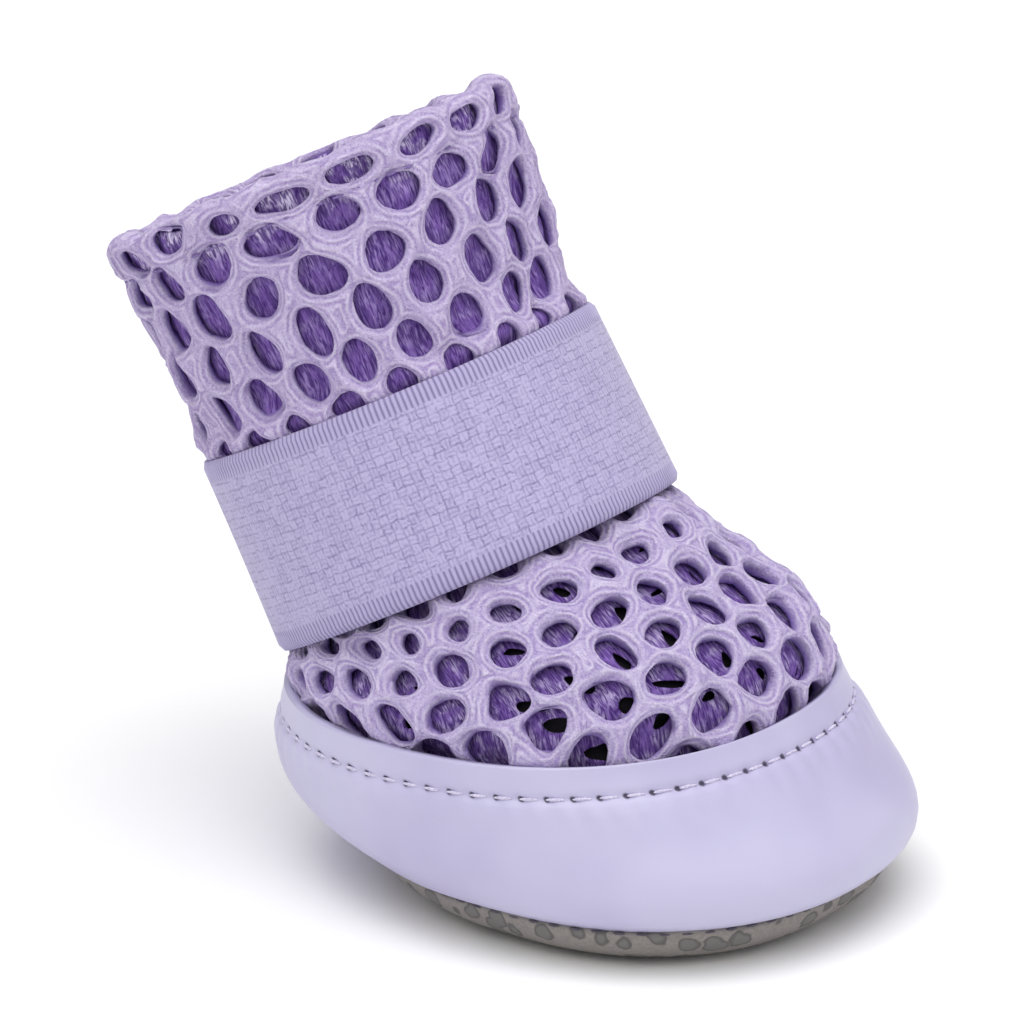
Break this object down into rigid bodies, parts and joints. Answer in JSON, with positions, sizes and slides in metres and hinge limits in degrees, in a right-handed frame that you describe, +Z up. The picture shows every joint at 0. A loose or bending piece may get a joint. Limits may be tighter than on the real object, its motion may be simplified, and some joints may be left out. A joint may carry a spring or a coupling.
{
  "type": "dog boot",
  "caption": "Soft paw boot: a sock of large-hole mesh with a coated-cloth rand round the foot, a soft dished sole and a hook-and-loop ankle strap.",
  "frame": {"origin": "on the sole's flat underside, on the floor, under the middle of the sole's seam", "axes": "+X to the toe, +Y to the boot's left, +Z up from the floor"},
  "size_m": [0.0859, 0.0526, 0.0781],
  "materials": {
    "sole_cloth": "matt anti-slip cloth, warm grey with darker grey spots",
    "insole_cloth": "plain near-black lining cloth, as the dark inside seen through the holes",
    "spacer_mesh": "knitted large-hole mesh, lavender, in two layers",
    "coated_cloth": "smooth lavender faux leather with a satin sheen",
    "hook_and_loop_tape": "woven lavender tape with ribbed selvedges"
  },
  "bodies": {
    "root": {"sole": "sole_cloth", "insole": "insole_cloth", "upper": "spacer_mesh", "rand": "coated_cloth", "strap": "hook_and_loop_tape"}
  },
  "joints": []
}
